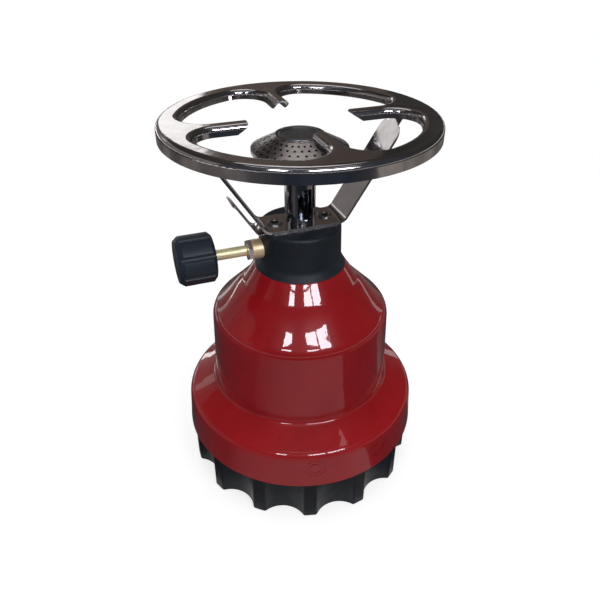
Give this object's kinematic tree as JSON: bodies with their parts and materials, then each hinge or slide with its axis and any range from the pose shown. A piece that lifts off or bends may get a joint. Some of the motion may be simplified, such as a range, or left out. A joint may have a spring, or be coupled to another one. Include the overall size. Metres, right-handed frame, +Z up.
{
  "type": "portable gas stove",
  "caption": "Portable single-burner gas stove: lobed screw base holding a pierceable cartridge, red pressed body, side valve knob, perforated burner and chrome pot ring.",
  "frame": {"origin": "under the middle of the base handwheel, on the floor", "axes": "+Z up, +X along the support bracket with the valve knob pointing along -X"},
  "size_m": [0.1292, 0.1292, 0.1985],
  "materials": {
    "red_paint": "gloss",
    "black_plastic": "satin",
    "chrome": "polished",
    "steel": "satin",
    "dark_steel": "satin",
    "brass": "polished",
    "rubber": "matte",
    "can_paint": "gloss"
  },
  "bodies": {
    "base": {"base_handwheel": "black_plastic", "gas_cartridge": "can_paint"},
    "thread": {"thread_ring": "black_plastic"},
    "stove_top": {"body_shell": "red_paint", "neck_collar": "black_plastic", "valve_body": "brass", "lock_washer": "steel", "valve_locknut": "steel", "piercing_needle": "steel", "cartridge_seal": "rubber", "gland_nut": "brass", "gland_lock_ring": "steel", "spindle_o_ring": "rubber", "support_bracket": "chrome", "left_rivet": "steel", "right_rivet": "steel", "pot_ring": "chrome", "burner_tube": "chrome", "gas_jet": "steel", "burner_bowl": "steel", "flame_cone": "steel", "burner_cap": "dark_steel"},
    "valve_knob": {"spindle": "brass", "knob": "black_plastic"}
  },
  "joints": [
    {"name": "unscrew_lift", "type": "slide", "parent": "base", "child": "thread", "axis": [0, 0, 1], "range_m": [0, 0.01502]},
    {"name": "unscrew_turn", "type": "hinge", "parent": "thread", "child": "stove_top", "pos_m": [0, 0, 0], "axis": [0, 0, 1], "range_deg": [0, 900]},
    {"name": "knob_turn", "type": "hinge", "parent": "stove_top", "child": "valve_knob", "pos_m": [-0.05, 0, 0.1345], "axis": [-1, 0, 0], "range_deg": [0, 720]}
  ],
  "couplings": [
    {"joint": "unscrew_lift", "follows": "unscrew_turn", "m_per_rad": 0.00095493}
  ]
}
